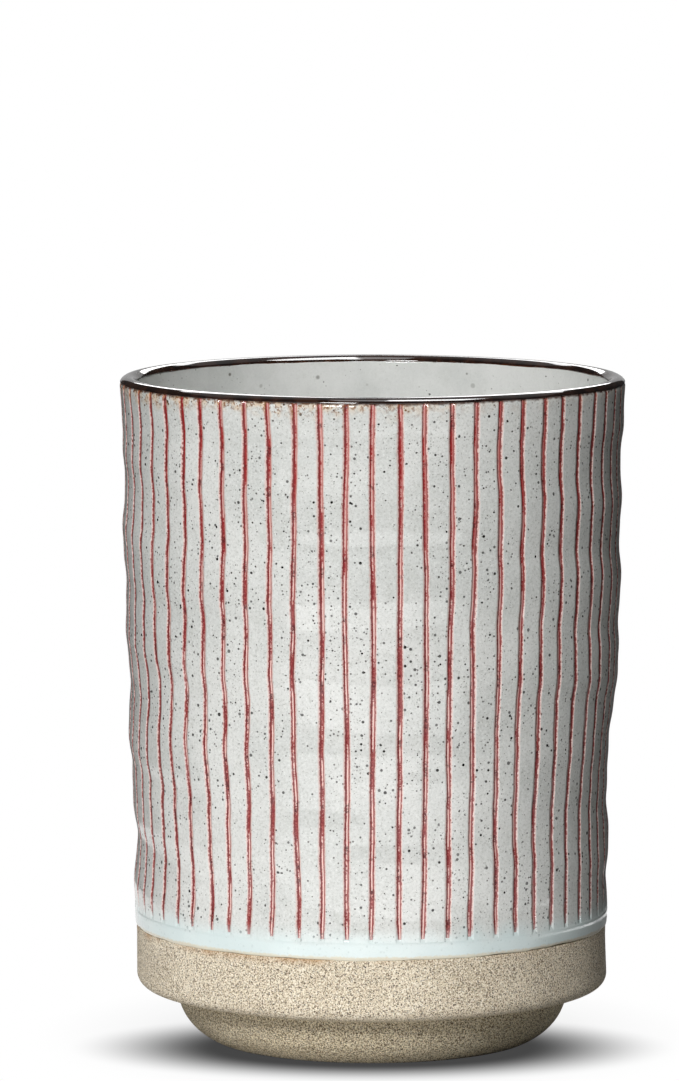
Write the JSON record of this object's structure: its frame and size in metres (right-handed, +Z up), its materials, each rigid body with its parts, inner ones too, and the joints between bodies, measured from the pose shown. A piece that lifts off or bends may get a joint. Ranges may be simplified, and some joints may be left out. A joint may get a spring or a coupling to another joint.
{
  "type": "spoon holder",
  "caption": "Open stoneware crock that stands on a turned foot and holds kitchen spoons upright, glazed inside and out with a brown lip, thin red upright lines and a bare clay band.",
  "frame": {"origin": "on the table under the middle of the foot", "axes": "+Z up along the pot's axis out of its mouth; -Y towards the viewer of the picture; +X to the viewer's right"},
  "size_m": [0.12, 0.12, 0.1585],
  "materials": {
    "bare_clay": "matte, sandy, with dark and white grains",
    "inner_glaze": "glossy, pale grey-green with soft iron spots",
    "pale_glaze": "glossy, pale grey with small dark specks",
    "pooled_glaze": "glossy, blue-grey, thick",
    "iron_glaze": "glossy, iron brown",
    "red_slip": "satin, red under thin glaze"
  },
  "bodies": {
    "root": {"stoneware_body": "bare_clay", "liner_glaze": "inner_glaze", "wall_glaze": "pale_glaze", "glaze_roll": "pooled_glaze", "rim_glaze": "iron_glaze", "line_inlays": "red_slip"}
  },
  "joints": []
}
